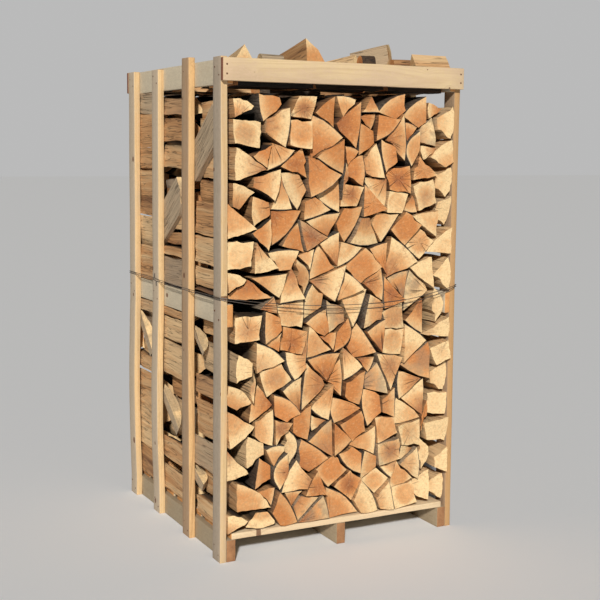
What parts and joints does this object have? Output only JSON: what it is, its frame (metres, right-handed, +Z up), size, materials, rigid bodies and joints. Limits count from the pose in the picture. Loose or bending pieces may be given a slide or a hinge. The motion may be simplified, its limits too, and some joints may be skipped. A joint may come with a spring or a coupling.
{
  "type": "firewood bundle in a slatted pallet crate",
  "caption": "Slatted timber pallet crate filled with stacked split firewood, with a loose heap on top and a tie wire round its middle.",
  "frame": {"origin": "on the ground, under the middle of the crate", "axes": "+Z up, -Y out of the open front where the log ends show, +X to the right seen from the front"},
  "size_m": [1.1196, 1.1446, 2.1186],
  "materials": {
    "weathered_board": "rough sawn, weathered grey-brown outside and pale yellow on the edges",
    "sawn_board": "rough sawn, pale yellow with brown streaks",
    "deck_board": "rough sawn",
    "runner_wood": "rough sawn, reddish-brown end grain",
    "split_wood": "sawn ends and split sides, cream to orange-tan, with grey-brown bark",
    "steel_wire": "annealed, dull grey"
  },
  "bodies": {
    "root": {"deck_board_1": "deck_board", "deck_board_2": "deck_board", "deck_board_3": "deck_board", "deck_board_4": "deck_board", "deck_board_5": "deck_board", "deck_board_6": "deck_board", "deck_board_7": "deck_board", "heap_log_1": "split_wood", "heap_log_10": "split_wood", "heap_log_11": "split_wood", "heap_log_12": "split_wood", "heap_log_13": "split_wood", "heap_log_14": "split_wood", "heap_log_15": "split_wood", "heap_log_16": "split_wood", "heap_log_17": "split_wood", "heap_log_18": "split_wood", "heap_log_19": "split_wood", "heap_log_2": "split_wood", "heap_log_20": "split_wood", "heap_log_21": "split_wood", "heap_log_22": "split_wood", "heap_log_23": "split_wood", "heap_log_24": "split_wood", "heap_log_3": "split_wood", "heap_log_4": "split_wood", "heap_log_5": "split_wood", "heap_log_6": "split_wood", "heap_log_7": "split_wood", "heap_log_8": "split_wood", "heap_log_9": "split_wood", "log_row_back": "split_wood", "log_row_front": "split_wood", "log_row_middle": "split_wood", "mid_rail_left": "weathered_board", "mid_rail_right": "weathered_board", "runner_left": "runner_wood", "runner_middle": "runner_wood", "runner_right": "runner_wood", "side_splint_1": "split_wood", "side_splint_2": "split_wood", "side_splint_3": "split_wood", "side_splint_4": "split_wood", "side_splint_5": "split_wood", "side_splint_6": "split_wood", "slat_left_1": "weathered_board", "slat_left_2": "weathered_board", "slat_left_3": "weathered_board", "slat_left_4": "weathered_board", "slat_right_1": "weathered_board", "slat_right_2": "weathered_board", "slat_right_3": "weathered_board", "slat_right_4": "weathered_board", "tie_wire_lower": "steel_wire", "tie_wire_upper": "steel_wire", "top_board_back": "sawn_board", "top_board_front": "sawn_board", "top_rail_left": "weathered_board", "top_rail_right": "weathered_board"}
  },
  "joints": []
}
